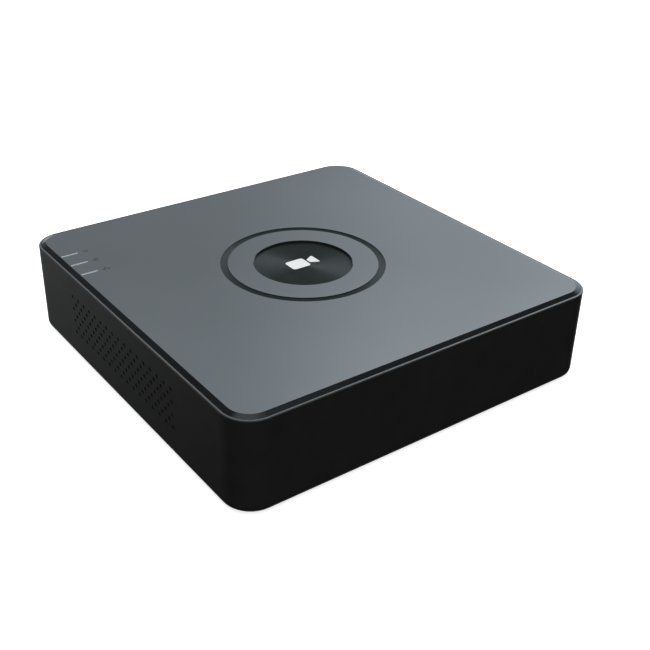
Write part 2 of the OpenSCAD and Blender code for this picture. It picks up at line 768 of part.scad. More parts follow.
module data_plugs() {
  color([0.12, 0.12, 0.13]) in_case() {
    plug(header_x, data_y[1], header_z, 7, lead_exit);
    plug(drive_x1, data_y[0], drive_plug_z, 7, lead_exit);
  }
}

module power_plugs() {
  color([0.9, 0.88, 0.82]) in_case() {
    plug(header_x, power_y[1], header_z, 4.5, lead_exit);
    plug(drive_x1, power_y[0], drive_plug_z, 10.5, lead_exit);
  }
}

// A round lead that leaves the board's header, turns along the case and turns back into the drive.
// It lies in a plane through X that tilts from the header's height down to the drive's.
module u_lead(y_drive, y_header, far_x, r, bend) {
  run = y_header - y_drive;
  rise = header_z - drive_plug_z;
  span = sqrt(run * run + rise * rise);
  x_header = header_x + lead_exit;
  x_drive = drive_x1 + lead_exit;
  translate([0, y_drive, drive_plug_z]) rotate([atan2(rise, run), 0, 0]) {
    translate([x_drive, 0, 0]) rotate([0, 90, 0]) cylinder(r = r, h = far_x - bend - x_drive);
    translate([far_x - bend, bend, 0]) rotate([0, 0, -90])
      rotate_extrude(angle = 90) translate([bend, 0]) circle(r);
    translate([far_x, bend, 0]) rotate([-90, 0, 0]) cylinder(r = r, h = span - 2 * bend);
    translate([far_x - bend, span - bend, 0])
      rotate_extrude(angle = 90) translate([bend, 0]) circle(r);
    translate([x_header, span, 0]) rotate([0, 90, 0]) cylinder(r = r, h = far_x - bend - x_header);
  }
}

module data_lead() {
  color([0.1, 0.1, 0.12]) in_case() u_lead(data_y[0], data_y[1], 86, 2, 5);
}

module power_lead() {
  color([0.6, 0.1, 0.08]) in_case() for (i = [0:3]) {
    shift = (i - 1.5) * 1.9;
    u_lead(power_y[0] - shift, power_y[1] + shift, 92.3 + shift, 0.75, 3.2 + i * 0.6);
  }
}

module drive_base() {
  top = drive_z1 - drive_lid_t;
  color([0.55, 0.56, 0.58]) in_case() {
    difference() {
      box([drive_x0, drive_y0, drive_z0], [drive_x1, drive_y1, top]);
      translate([disk_x, drive_cy, deck_z]) cylinder(r = disk_r + 1.6, h = drive_h);
      box([disk_x, drive_y0 + 4, deck_z], [drive_x1 - 5, drive_cy + 22, top + 1]);
      box([drive_x0 + 45, drive_y0 + 8, drive_z0 - 1], [drive_x1 - 4, drive_y1 - 8, drive_z0 + 3]);
      box([drive_x1 - 5, drive_cy - 15, drive_z0 - 1], [drive_x1 + 1, drive_cy + 31, drive_z0 + 7.5]);
      for (p = DRIVE_HOLES) translate([p.x, drive_cy + p.y, drive_z0 - 1]) cylinder(r = 1.5, h = 7);
    }
    translate([disk_x, drive_cy, deck_z - 1]) cylinder(r = hub_shaft_r, h = 10, $fn = small_fn);
    translate([arm_x, arm_y, deck_z - 1]) cylinder(r = arm_shaft_r, h = 12, $fn = small_fn);
  }
}

module drive_lid() {
  top = drive_z1 - drive_lid_t;
  color([0.7, 0.71, 0.73]) in_case() difference() {
    box([drive_x0 + 0.5, drive_y0 + 0.5, top], [drive_x1 - 0.5, drive_y1 - 0.5, drive_z1]);
    for (c = [[disk_x, drive_cy, hub_r + 3], [arm_x, arm_y, 5]])
      translate([c[0], c[1], drive_z1 - 0.4]) rotate_extrude() translate([c[2], 0]) square([1, 1]);
    for (x = [drive_x0 + 5, drive_x1 - 5, (drive_x0 + drive_x1) / 2], s = [-1, 1])
      translate([x, drive_cy + s * 47, drive_z1 - 0.6]) cylinder(r = 2.2, h = 1, $fn = small_fn);
  }
}

module drive_board() {
  z = drive_z0 + 0.6;
  top = z + drive_pcb_t;
  color([0.03, 0.2, 0.12]) in_case() {
    box([drive_x0 + 46, drive_y0 + 9, z], [drive_x1 - 5.5, drive_y1 - 9, top]);
    translate([disk_x + 40, drive_cy + 20, top - eps]) chip(10, 10, 0.9, 8, true);
    translate([disk_x + 62, drive_cy - 20, top - eps]) chip(8, 11, 0.9, 8, false);
  }
}

module drive_connector() {
  color([0.04, 0.04, 0.04]) in_case() difference() {
    box([drive_x1 - 5, drive_cy - 14.5, drive_z0 + 1.9], [drive_x1 - 0.1, drive_cy + 30.5, drive_z0 + 7]);
    box([drive_x1 - 4.5, drive_cy - 12, drive_z0 + 2.3], [drive_x1 + 1, drive_cy + 8, drive_z0 + 6.2]);
    box([drive_x1 - 4.5, drive_cy + 15.5, drive_z0 + 2.3], [drive_x1 + 1, drive_cy + 28.5, drive_z0 + 6.2]);
  }
}

module drive_disks() {
  color([0.85, 0.86, 0.88]) in_case() translate([disk_x, drive_cy, 0]) difference() {
    union() {
      for (z = disk_z) translate([0, 0, z]) cylinder(r = disk_r, h = disk_t);
      translate([0, 0, disk_z[0]]) cylinder(r = hub_r + 3, h = disk_z[1] - disk_z[0]);
    }
    cylinder(r = hub_r, h = case_h);
  }
}

module drive_hub() {
  color([0.7, 0.7, 0.72]) in_case() translate([disk_x, drive_cy, 0]) difference() {
    union() {
      translate([0, 0, deck_z + 0.4]) cylinder(r = hub_r, h = disk_z[1] + disk_t + 1 - deck_z - 0.4);
      translate([0, 0, disk_z[1] + disk_t]) cylinder(r = hub_r + 2.5, h = 1.2);
    }
    translate([0, 0, deck_z - 1]) cylinder(r = hub_shaft_r + run_clear, h = 10.3, $fn = small_fn);
    for (a = [0:60:300]) rotate([0, 0, a])
      translate([8, 0, disk_z[1]]) cylinder(r = 1.2, h = 5, $fn = small_fn);
  }
}

// The head arm: a pivot, a thin arm over each disk and the coil's tail behind the pivot
module drive_arm() {
  reach = 52;
  toward = 118;
  tail_z = deck_z + 5;
  color([0.8, 0.8, 0.8]) in_case() translate([arm_x, arm_y, 0]) difference() {
    union() {
      translate([0, 0, deck_z + 0.4]) cylinder(r = 6, h = 12);
      rotate([0, 0, toward]) {
        for (z = [disk_z[0] + 2.2, disk_z[1] + 2.2]) translate([0, 0, z]) linear_extrude(1)
          polygon([[0, -5], [reach - 12, -2], [reach, -1], [reach, 1], [reach - 12, 2], [0, 5]]);
        translate([0, 0, tail_z]) linear_extrude(2)
          polygon([[0, -5], [-15, -7], [-17, 0], [-15, 7], [0, 5]]);
      }
    }
    translate([0, 0, deck_z - 1]) cylinder(r = arm_shaft_r + run_clear, h = 15, $fn = small_fn);
  }
}

module drive_screws() {
  color([0.6, 0.6, 0.62]) in_case() for (p = DRIVE_HOLES)
    translate([p.x, drive_cy + p.y, floor_z]) screw(1.4, 5.5, screw_head_r, screw_head_h - 0.4);
}

bottom_case();
top_cover();
badge_disc();
groove_ring();
light_guide();
rear_panel();
rubber_feet();
case_screws();
main_board();
board_screws();
soc_chip();
heat_sink();
heat_sink_pins();
memory_chips();
decoder_chips();
capacitors();
inductors();
cell_holder();
coin_cell();
status_leds();
buzzer();
network_transformer();
bnc_housing();
bnc_shell_1();
bnc_shell_2();
bnc_shell_3();
bnc_shell_4();
bnc_insulators();
bnc_contacts();
audio_housing();
audio_shell_in();
audio_shell_out();
audio_cores();
vga_shell();
vga_insert();
vga_jack_screws();
hdmi_shell();
hdmi_tongue();
lan_shield();
lan_insert();
usb_shell();
usb_tongues();
terminal_block();
terminal_screws();
power_jack();
power_pin();
ground_screw();
drive_headers();
data_lead();
data_plugs();
power_lead();
power_plugs();
drive_base();
drive_lid();
drive_board();
drive_connector();
drive_disks();
drive_hub();
drive_arm();
drive_screws();
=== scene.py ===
import json
import math
import random

import bmesh
import bpy
from mathutils import Matrix, Vector


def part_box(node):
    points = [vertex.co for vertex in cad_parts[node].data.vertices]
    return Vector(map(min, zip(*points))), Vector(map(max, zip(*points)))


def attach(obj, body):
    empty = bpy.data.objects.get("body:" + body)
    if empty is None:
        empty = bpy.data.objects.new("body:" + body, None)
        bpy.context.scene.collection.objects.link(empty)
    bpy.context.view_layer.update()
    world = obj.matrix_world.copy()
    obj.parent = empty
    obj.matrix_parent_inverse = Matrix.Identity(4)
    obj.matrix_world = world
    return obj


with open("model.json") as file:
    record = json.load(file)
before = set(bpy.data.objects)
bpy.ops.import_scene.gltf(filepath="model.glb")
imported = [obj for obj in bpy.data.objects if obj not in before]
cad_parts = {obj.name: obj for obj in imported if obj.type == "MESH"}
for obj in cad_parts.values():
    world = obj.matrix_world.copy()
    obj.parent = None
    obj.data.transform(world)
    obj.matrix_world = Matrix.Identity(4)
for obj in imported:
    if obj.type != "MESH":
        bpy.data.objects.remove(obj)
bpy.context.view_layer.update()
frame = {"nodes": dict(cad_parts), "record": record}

# Pieces are laid out in case coordinates: millimetres, x and y from the middle of the case and z from
# the floor. The frame's own boxes, the camera, the floor and the materials' grain are in metres.
MM = 0.001
NODES = frame["nodes"]
SCENE = bpy.context.scene
_, COVER_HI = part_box("top_cover")
CASE_LO, CASE_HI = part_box("bottom_case")
_, BADGE_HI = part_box("badge_disc")
_, PANEL_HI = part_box("rear_panel")
CENTRE_Y = (CASE_LO.y + CASE_HI.y) / 2
COVER_TOP = COVER_HI.z / MM
BADGE_EDGE = BADGE_HI.z / MM
BADGE_RADIUS = BADGE_HI.x / MM
BADGE_HOLLOW = 0.35  # how far the badge's middle lies below its edge
BAR_PITCH = 11.5  # between the light bars
PANEL_FACE = (PANEL_HI.y - CENTRE_Y) / MM
UNDERSIDE = CASE_LO.z / MM


def case_point(point):
    """A point of the frame in case coordinates, to the nearest micrometre."""
    return [round(value / MM, 3) for value in (point.x, point.y - CENTRE_Y, point.z)]


def lowest(node):
    return case_point(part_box(node)[0])


def highest(node):
    return case_point(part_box(node)[1])


def middle(node):
    return [(a + b) / 2 for a, b in zip(lowest(node), highest(node))]


BOARD_TOP = highest("main_board")[2]
LID_TOP = highest("drive_lid")[2]


# ---------------------------------------------------------------- camera

# The camera looks down at the near left corner, between the plain front and the vented left side.
CAMERA_AZIMUTH = math.radians(-36.95)
CAMERA_ELEVATION = math.radians(30.04)
CAMERA_ROLL = math.radians(1.46)
CAMERA_DISTANCE = 0.5401
CAMERA_LENS = 56.06
CAMERA_TARGET = Vector((0.0214, CENTRE_Y + 0.0093, 0.0006))


def back_direction(azimuth, elevation):
    """The direction from a target towards a viewer at this azimuth and elevation."""
    return Vector((math.sin(azimuth) * math.cos(elevation),
                   -math.cos(azimuth) * math.cos(elevation), math.sin(elevation)))


def make_camera():
    data = bpy.data.cameras.new("camera")
    data.lens = CAMERA_LENS
    data.sensor_width = 36
    data.clip_start = 0.01
    data.clip_end = 50
    data.dof.use_dof = False
    camera = bpy.data.objects.new("camera", data)
    SCENE.collection.objects.link(camera)
    back = back_direction(CAMERA_AZIMUTH, CAMERA_ELEVATION)
    camera.location = CAMERA_TARGET + back * CAMERA_DISTANCE
    turn = (-back).to_track_quat("-Z", "Y").to_matrix().to_4x4()
    camera.matrix_world = (Matrix.Translation(camera.location) @ turn
                           @ Matrix.Rotation(CAMERA_ROLL, 4, "Z"))
    SCENE.camera = camera


# ---------------------------------------------------------------- node helpers

NOISE_LOW, NOISE_HIGH = 0.3, 0.7  # most of a noise's values lie between these


class Graph:
    """A short way to build one material's node tree."""

    def __init__(self, name):
        self.material = bpy.data.materials.new(name)
        self.material.use_nodes = True
        self.tree = self.material.node_tree
        self.tree.nodes.clear()
        self.output = self.node("ShaderNodeOutputMaterial")
        self.shader = self.node("ShaderNodeBsdfPrincipled")
        self.link(self.shader.outputs["BSDF"], self.output.inputs["Surface"])
        self.point = self.node("ShaderNodeTexCoord").outputs["Object"]

    def node(self, kind, **settings):
        made = self.tree.nodes.new(kind)
        for key, value in settings.items():
            setattr(made, key, value)
        return made

    def link(self, source, target):
        self.tree.links.new(source, target)

    def set(self, **values):
        for key, value in values.items():
            self.shader.inputs[key.replace("_", " ")].default_value = value

    def stretched(self, scale):
        """The object's own coordinates, scaled along each axis."""
        mapping = self.node("ShaderNodeMapping")
        mapping.inputs["Scale"].default_value = scale
        self.link(self.point, mapping.inputs["Vector"])
        return mapping.outputs["Vector"]

    def noise(self, size, detail=3.0, stretch=None, rough=0.55):
        """Noise whose blobs are about size metres across."""
        texture = self.node("ShaderNodeTexNoise")
        texture.inputs["Scale"].default_value = 1 / size
        texture.inputs["Detail"].default_value = detail
        texture.inputs["Roughness"].default_value = rough
        self.link(self.stretched(stretch) if stretch else self.point, texture.inputs["Vector"])
        return texture.outputs["Fac"]

    def ramp(self, value, stops):
        """A colour ramp. stops are (position, colour)."""
        ramp = self.node("ShaderNodeValToRGB")
        elements = ramp.color_ramp.elements
        while len(elements) < len(stops):
            elements.new(0.5)
        for element, (position, colour) in zip(elements, stops):
            element.position = position
            element.color = (*colour, 1)
        self.link(value, ramp.inputs["Fac"])
        return ramp.outputs["Color"]

    def spread(self, value, low, high):
        """Maps the middle values of a noise onto low to high."""
        mapped = self.node("ShaderNodeMapRange")
        limits = {"From Min": NOISE_LOW, "From Max": NOISE_HIGH, "To Min": low, "To Max": high}
        for name, number in limits.items():
            mapped.inputs[name].default_value = number
        self.link(value, mapped.inputs["Value"])
        return mapped.outputs["Result"]

    def math(self, operation, a, b):
        made = self.node("ShaderNodeMath", operation=operation)
        for socket, value in zip(made.inputs, (a, b)):
            if isinstance(value, (int, float)):
                socket.default_value = value
            else:
                self.link(value, socket)
        return made.outputs[0]

    def colour(self, socket):
        self.link(socket, self.shader.inputs["Base Color"])

    def mottle(self, size, dark, light):
        """Blends the colour between two shades, in blobs about size metres across."""
        self.colour(self.ramp(self.noise(size), [(NOISE_LOW, dark), (NOISE_HIGH, light)]))

    def roughness(self, socket):
        self.link(socket, self.shader.inputs["Roughness"])

    def bump(self, height, distance, below=None):
        """Bumps distance metres high, on top of the bumps below."""
        made = self.node("ShaderNodeBump")
        made.inputs["Distance"].default_value = distance
        self.link(height, made.inputs["Height"])
        if below:
            self.link(below, made.inputs["Normal"])
        self.link(made.outputs["Normal"], self.shader.inputs["Normal"])
        return made.outputs["Normal"]


def shades(colour, spread):
    """Two colours a little darker and a little lighter than the one given."""
    return ([c * (1 - spread) for c in colour], [c * (1 + spread) for c in colour])


def plastic(name, colour, rough=(0.35, 0.5), grain=0.25 * MM, depth=0.01 * MM, spread=0.2, **values):
    """Moulded plastic: slightly uneven colour, uneven gloss and a fine moulded grain."""
    g = Graph(name)
    dark, light = shades(colour, spread)
    g.mottle(6 * MM, dark, light)
    g.roughness(g.spread(g.noise(3 * MM), *rough))
    g.bump(g.noise(grain, detail=2), depth)
    g.set(**values)
    return g.material


def metal(name, colour, rough=(0.18, 0.32), stretch=None, grain=0.3 * MM, depth=0.002 * MM, spread=0.08):
    """Bare or plated metal, with a faint drawn or turned grain."""
    g = Graph(name)
    dark, light = shades(colour, spread)
    g.mottle(2 * MM, dark, light)
    g.roughness(g.spread(g.noise(1.5 * MM, stretch=stretch), *rough))
    g.bump(g.noise(grain, detail=2, stretch=stretch), depth)
    g.set(Metallic=1.0)
    return g.material


# ---------------------------------------------------------------- materials

def case_plastic():
    """Black moulded case: a fine spark-eroded texture and a soft sheen."""
    g = Graph("case_plastic_look")
    g.mottle(9 * MM, (0.0145, 0.0145, 0.0145), (0.0175, 0.0175, 0.0175))
    g.roughness(g.spread(g.noise(5 * MM), 0.28, 0.33))
    coarse = g.bump(g.noise(0.9 * MM, detail=2), 0.004 * MM)
    g.bump(g.noise(0.28 * MM, detail=3), 0.005 * MM, below=coarse)
    g.set(IOR=1.5)
    return g.material


def cover_plastic():
    """Polished black cover: a mirror-like skin with very faint moulding ripple and handling marks."""
    g = Graph("cover_plastic_look")
    g.mottle(20 * MM, (0.008, 0.009, 0.0095), (0.011, 0.012, 0.0125))
    smudges = g.noise(35 * MM, detail=5, rough=0.65)
    hairlines = g.noise(1.2 * MM, detail=2, stretch=(1, 14, 1))
    g.roughness(g.math("ADD", g.spread(smudges, 0.07, 0.11), g.spread(hairlines, 0, 0.02)))
    g.bump(g.noise(14 * MM, detail=2), 0.006 * MM)
    g.set(IOR=1.5)
    return g.material


def badge_plastic():
    """Spun black badge: fine concentric turning marks around its middle."""
    g = Graph("badge_plastic_look")
    g.mottle(8 * MM, (0.006, 0.0085, 0.0075), (0.009, 0.012, 0.011))
    g.roughness(g.spread(g.noise(2 * MM), 0.4, 0.45))
    tangent = g.node("ShaderNodeTangent", direction_type="RADIAL", axis="Z")
    g.link(tangent.outputs["Tangent"], g.shader.inputs["Tangent"])
    g.set(IOR=1.5, Specular_IOR_Level=0.11, Anisotropic=1.0, Anisotropic_Rotation=0.25)
    return g.material


def light_pipe():
    """Frosted clear light pipe."""
    g = Graph("light_pipe_look")
    g.mottle(2 * MM, (0.29, 0.3, 0.32), (0.34, 0.35, 0.37))
    g.roughness(g.spread(g.noise(1 * MM), 0.25, 0.4))
    g.bump(g.noise(0.4 * MM), 0.01 * MM)
    g.set(IOR=1.49, Transmission_Weight=0.25, Subsurface_Weight=0.3, Subsurface_Scale=0.002)
    return g.material


def panel_steel():
    """Black powder-coated steel: a fine orange-peel texture."""
    g = Graph("panel_steel_look")
    g.mottle(4 * MM, (0.016, 0.016, 0.017), (0.024, 0.024, 0.025))
    g.roughness(g.spread(g.noise(2 * MM), 0.38, 0.5))
    g.bump(g.noise(0.7 * MM, detail=2), 0.03 * MM)
    g.set(Metallic=0.2, IOR=1.5)
    return g.material


def board_laminate():
    """Green solder mask over copper tracks, with tinned holes."""
    g = Graph("board_laminate_look")
    cells = g.node("ShaderNodeTexVoronoi", distance="CHEBYCHEV", feature="F1")
    cells.inputs["Scale"].default_value = 1 / (5 * MM)
    g.link(g.stretched((1, 1, 0.01)), cells.inputs["Vector"])
    bands = g.math("PINGPONG", g.math("MULTIPLY", cells.outputs["Distance"], 9.0), 1.0)
    tracks = g.ramp(bands, [(0.42, (0.004, 0.055, 0.024)), (0.5, (0.008, 0.11, 0.045))])
    holes = g.node("ShaderNodeTexVoronoi", feature="F1")
    holes.inputs["Scale"].default_value = 1 / (3.2 * MM)
    g.link(g.stretched((1, 1, 0.01)), holes.inputs["Vector"])
    is_hole = g.math("LESS_THAN", holes.outputs["Distance"], 0.11)
    mix = g.node("ShaderNodeMix", data_type="RGBA")
    g.link(is_hole, mix.inputs["Factor"])
    g.link(tracks, mix.inputs["A"])
    mix.inputs["B"].default_value = (0.5, 0.42, 0.25, 1)
    g.colour(mix.outputs["Result"])
    g.roughness(g.spread(g.noise(3 * MM), 0.25, 0.4))
    g.bump(bands, 0.03 * MM)
    g.set(IOR=1.5)
    return g.material


def make_materials():
    """One Blender material for each of the record's material slots."""
    return {
        "case_plastic": case_plastic(),
        "cover_plastic": cover_plastic(),
        "badge_plastic": badge_plastic(),
        "light_pipe": light_pipe(),
        "panel_steel": panel_steel(),
        "board_laminate": board_laminate(),
        "foot_rubber": plastic("foot_rubber_look", (0.02, 0.02, 0.021), (0.65, 0.8), 0.5 * MM, 0.03 * MM),
        "screw_steel": metal("screw_steel_look", (0.58, 0.58, 0.6), (0.25, 0.4)),
        "chip_plastic": plastic("chip_plastic_look", (0.018, 0.018, 0.02), (0.5, 0.65)),
        "heat_sink_aluminium": metal("heat_sink_look", (0.05, 0.05, 0.055), (0.35, 0.5), (1, 12, 1)),
        "ivory_plastic": plastic("ivory_plastic_look", (0.66, 0.6, 0.46), (0.4, 0.55), spread=0.06),
        "can_aluminium": metal("can_aluminium_look", (0.68, 0.69, 0.71), (0.25, 0.35), (1, 1, 10)),
        "cell_steel": metal("cell_steel_look", (0.66, 0.66, 0.67), (0.3, 0.42), (12, 1, 1),
                            depth=0.0006 * MM),
        "led_lens": plastic("led_lens_look", (0.75, 0.74, 0.6), (0.15, 0.25), spread=0.05),
        "black_plastic": plastic("black_plastic_look", (0.013, 0.013, 0.014), (0.32, 0.45)),
        "nickel_plate": metal("nickel_plate_look", (0.62, 0.6, 0.56), (0.16, 0.28), (1, 0.1, 1)),
        "white_plastic": plastic("white_plastic_look", (0.78, 0.78, 0.75), (0.35, 0.5), spread=0.04),
        "contact_gold": metal("contact_gold_look", (0.83, 0.6, 0.22), (0.18, 0.28)),
        "blue_plastic": plastic("blue_plastic_look", (0.012, 0.05, 0.32), (0.35, 0.5)),
        "green_plastic": plastic("green_plastic_look", (0.012, 0.24, 0.07), (0.35, 0.5)),
        "black_jacket": plastic("black_jacket_look", (0.018, 0.018, 0.019), (0.4, 0.5), 0.6 * MM),
        "red_jacket": plastic("red_jacket_look", (0.38, 0.02, 0.012), (0.35, 0.45), 0.6 * MM),
        "cast_aluminium": metal("cast_aluminium_look", (0.5, 0.51, 0.53), (0.4, 0.6), grain=0.6 * MM,
                                depth=0.03 * MM),
        "bright_steel": metal("bright_steel_look", (0.64, 0.65, 0.67), (0.2, 0.3), (1, 14, 1),
                              depth=0.0006 * MM),
        "disk_mirror": metal("disk_mirror_look", (0.86, 0.87, 0.9), (0.03, 0.05), depth=0.0002 * MM),
    }


def dress_nodes(materials):
    """Gives every CAD node the material of its slot."""
    for part in frame["record"]["subparts"]:
        node = NODES[part["node"]]
        for index in range(len(node.material_slots)):
            node.material_slots[index].material = materials[part["material_slot"]]


# ---------------------------------------------------------------- piece helpers

def at(x, y, z):
    """Case coordinates in millimetres, from under the middle of the case, to the frame in metres."""
    return Vector((x * MM, y * MM + CENTRE_Y, z * MM))


def piece(name, bm, material, body):
    """Turns a bmesh into a named piece of the object."""
    bmesh.ops.recalc_face_normals(bm, faces=bm.faces)
    mesh = bpy.data.meshes.new(name)
    bm.to_mesh(mesh)
    bm.free()
    mesh.materials.append(material)
    made = bpy.data.objects.new(name, mesh)
    SCENE.collection.objects.link(made)
    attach(made, body)


def prism(bm, outline, low, high, place=at):
    """A flat outline in millimetres, thickened from low to high. place turns (u, v, w) into the frame."""
    base = [bm.verts.new(place(u, v, low)) for u, v in outline]
    top = [bm.verts.new(place(u, v, high)) for u, v in outline]
    bm.faces.new(base)
    bm.faces.new(top)
    for i in range(len(outline)):
        j = (i + 1) % len(outline)
        bm.faces.new((base[i], base[j], top[j], top[i]))


def band(bm, inner, outer, low, high, place=at, closed=False):
    """A thickened strip between two lines of points, such as an arc or a ring."""
    rings = [[bm.verts.new(place(u, v, w)) for u, v in line]
             for line, w in ((inner, low), (outer, low), (outer, high), (inner, high))]
    count = len(inner)
    for i in range(count if closed else count - 1):
        j = (i + 1) % count
        for a, b in ((0, 1), (1, 2), (2, 3), (3, 0)):
            bm.faces.new((rings[a][i], rings[b][i], rings[b][j], rings[a][j]))
    if not closed:
        for i in (0, count - 1):
            bm.faces.new([ring[i] for ring in rings])


def rect(u, v, width, height):
    left, right = u - width / 2, u + width / 2
    bottom, top = v - height / 2, v + height / 2
    return [(left, bottom), (right, bottom), (right, top), (left, top)]


def arc(u, v, radius, start, end, count):
    """Points on an arc, with its angles in degrees."""
    angles = [math.radians(start + (end - start) * i / count) for i in range(count + 1)]
    return [(u + radius * math.cos(a), v + radius * math.sin(a)) for a in angles]


def disc(u, v, radius, count=24):
    return arc(u, v, radius, 0, 360, count)[:-1]


def rounded(u, v, width, height, radius, count=6):
    """A rectangle with rounded corners."""
    reach_u, reach_v = width / 2 - radius, height / 2 - radius
    points = []
    for su, sv, start in ((1, 1, 0), (-1, 1, 90), (-1, -1, 180), (1, -1, 270)):
        points += arc(u + su * reach_u, v + sv * reach_v, radius, start, start + 90, count)
    return points


def ring(bm, u, v, inner, outer, low, high, place=at, start=0, end=360, count=32):
    closed = end - start == 360
    lines = [arc(u, v, radius, start, end, count) for radius in (inner, outer)]
    if closed:
        lines = [line[:-1] for line in lines]
    band(bm, *lines, low, high, place, closed)


def frame_shape(bm, u, v, width, height, line, low, high, place=at):
    """A rectangular outline of the given line width."""
    inner = rect(u, v, width - 2 * line, height - 2 * line)
    band(bm, inner, rect(u, v, width, height), low, high, place, closed=True)


def block(bm, x0, x1, y0, y1, low, high):
    prism(bm, [(x0, y0), (x1, y0), (x1, y1), (x0, y1)], low, high)


def cup(bm, outer, inner, low, floor, high):
    """A solid with the outer outline and a blind recess of the inner outline in its top."""
    rings = [[bm.verts.new(at(u, v, w)) for u, v in line]
             for line, w in ((outer, low), (outer, high), (inner, high), (inner, floor))]
    count = len(outer)
    for i in range(count):
        j = (i + 1) % count
        for a in range(3):
            bm.faces.new((rings[a][i], rings[a][j], rings[a + 1][j], rings[a + 1][i]))
    bm.faces.new(rings[0])
    bm.faces.new(rings[3])


# ---------------------------------------------------------------- printed marks

def badge_mark(white):
    """A plain white camera pictogram in the badge, whose face is a shallow hollow cone."""
    def on_badge(u, v, w):
        hollow = BADGE_HOLLOW * (1 - math.hypot(u, v) / BADGE_RADIUS)
        return at(u, v, BADGE_EDGE - hollow + w)

    u, v = 0.7, 1.8
    body = rounded(u - 2.6, v, 10.4, 8.6, 1.6)
    lens = [(u + 3.6, v - 1.5), (u + 7.6, v - 3.7), (u + 8.2, v - 3.3), (u + 8.2, v + 3.3),
            (u + 7.6, v + 3.7), (u + 3.6, v + 1.5)]
    bm = bmesh.new()
    for shape in (body, lens):
        prism(bm, shape, 0.01, 0.08, on_badge)
    piece("badge_mark", bm, white, "cover")


def power_mark(bm, x, y, low, high):
    ring(bm, x, y, 0.95, 1.35, low, high, start=125, end=415, count=20)
    prism(bm, rect(x, y + 0.95, 0.4, 1.4), low, high)


def record_mark(bm, x, y, low, high):
    ring(bm, x, y, 1.0, 1.4, low, high)
    prism(bm, disc(x, y, 0.55), low, high)


def network_mark(bm, x, y, low, high):
    for dx, dy in ((-1.2, -0.9), (1.2, -0.9), (0, 1.0)):
        prism(bm, rect(x + dx, y + dy, 1.1, 1.0), low, high)
    prism(bm, rect(x, y + 0.2, 0.3, 0.6), low, high)
    prism(bm, rect(x, y - 0.25, 2.7, 0.3), low, high)


def indicator_marks(dark):
    """Three small printed pictograms beside the light bars."""
    low, high = COVER_TOP + 0.002, COVER_TOP + 0.012
    x = highest("light_guide")[0] + 4.2
    y = middle("light_guide")[1]
    bm = bmesh.new()
    power_mark(bm, x, y + BAR_PITCH, low, high)
    record_mark(bm, x, y, low, high)
    network_mark(bm, x, y - BAR_PITCH, low, high)
    piece("indicator_marks", bm, dark, "cover")


# ---------------------------------------------------------------- print on the rear panel

INK = (0.002, 0.03)  # from and to, out of the panel's face


def panel_point(u, v, w):
    """A place on the panel seen from behind: u to the right, v up and w out of its face."""
    return at(-u, PANEL_FACE + w, v)


def bar(bm, u, v, width, height):
    prism(bm, rect(u, v, width, height), *INK, panel_point)


def outline(bm, u, v, width, height, line):
    frame_shape(bm, u, v, width, height, line, *INK, panel_point)


def numeral(bm, number, u, v):
    """A numeral made of bars."""
    bars = {"top": (0, 1.5, 1.3, 0.35), "middle": (0, 0, 1.3, 0.35), "bottom": (0, -1.5, 1.3, 0.35),
            "upper_left": (-0.85, 0.75, 0.35, 1.1), "upper_right": (0.85, 0.75, 0.35, 1.1),
            "lower_left": (-0.85, -0.75, 0.35, 1.1), "lower_right": (0.85, -0.75, 0.35, 1.1)}
    lit = {1: "upper_right lower_right", 2: "top upper_right middle lower_left bottom",
           3: "top upper_right middle lower_right bottom", 4: "upper_left upper_right middle lower_right"}
    for name in lit[number].split():
        du, dv, width, height = bars[name]
        bar(bm, u + du, v + dv, width, height)


def arrow(bm, u, v, turn):
    """An arrow that points down where turn is 1 and up where it is -1."""
    bar(bm, u, v, 0.4, 2.4)
    base, tip = v - 1.2 * turn, v - 2.6 * turn
    prism(bm, [(u - 0.9, base), (u + 0.9, base), (u, tip)], *INK, panel_point)


def screen_sign(bm, u, v):
    outline(bm, u, v, 5.2, 3.4, 0.4)
    bar(bm, u, v - 2.1, 0.5, 0.7)
    bar(bm, u, v - 2.7, 2.6, 0.4)


def linked_boxes(bm, u, v):
    for du, dv in ((-1.7, -1.2), (1.7, -1.2), (0, 1.3)):
        outline(bm, u + du, v + dv, 1.6, 1.3, 0.3)
    bar(bm, u, v + 0.3, 0.3, 1.2)
    bar(bm, u, v - 0.45, 3.7, 0.3)


def plug_sign(bm, u, v):
    outline(bm, u, v, 5, 2.4, 0.35)
    for du in (-0.9, 0.9):
        bar(bm, u + du, v, 0.7, 0.7)


def plus_sign(bm, u, v, length, line, gap, stub):
    """A plus made of one bar and the two stubs above and below it."""
    bar(bm, u, v, length, line)
    for dv in (-gap, gap):
        bar(bm, u, v + dv, line, stub)


def centre_positive_sign(bm, u, v):
    """The sign for a power plug: minus, a dot in an open ring, plus."""
    ring(bm, u, v, 1.35, 1.7, *INK, panel_point, start=40, end=320)
    prism(bm, disc(u, v, 0.55), *INK, panel_point)
    bar(bm, u - 3.9, v, 1.3, 0.3)
    plus_sign(bm, u + 3.9, v, 1.3, 0.3, 0.4, 0.5)


def earth_sign(bm, u, v):
    bar(bm, u, v + 1.1, 0.35, 1.8)
    for width, dv in ((3.4, 0), (2.2, -0.8), (1.0, -1.6)):
        bar(bm, u, v + dv, width, 0.35)


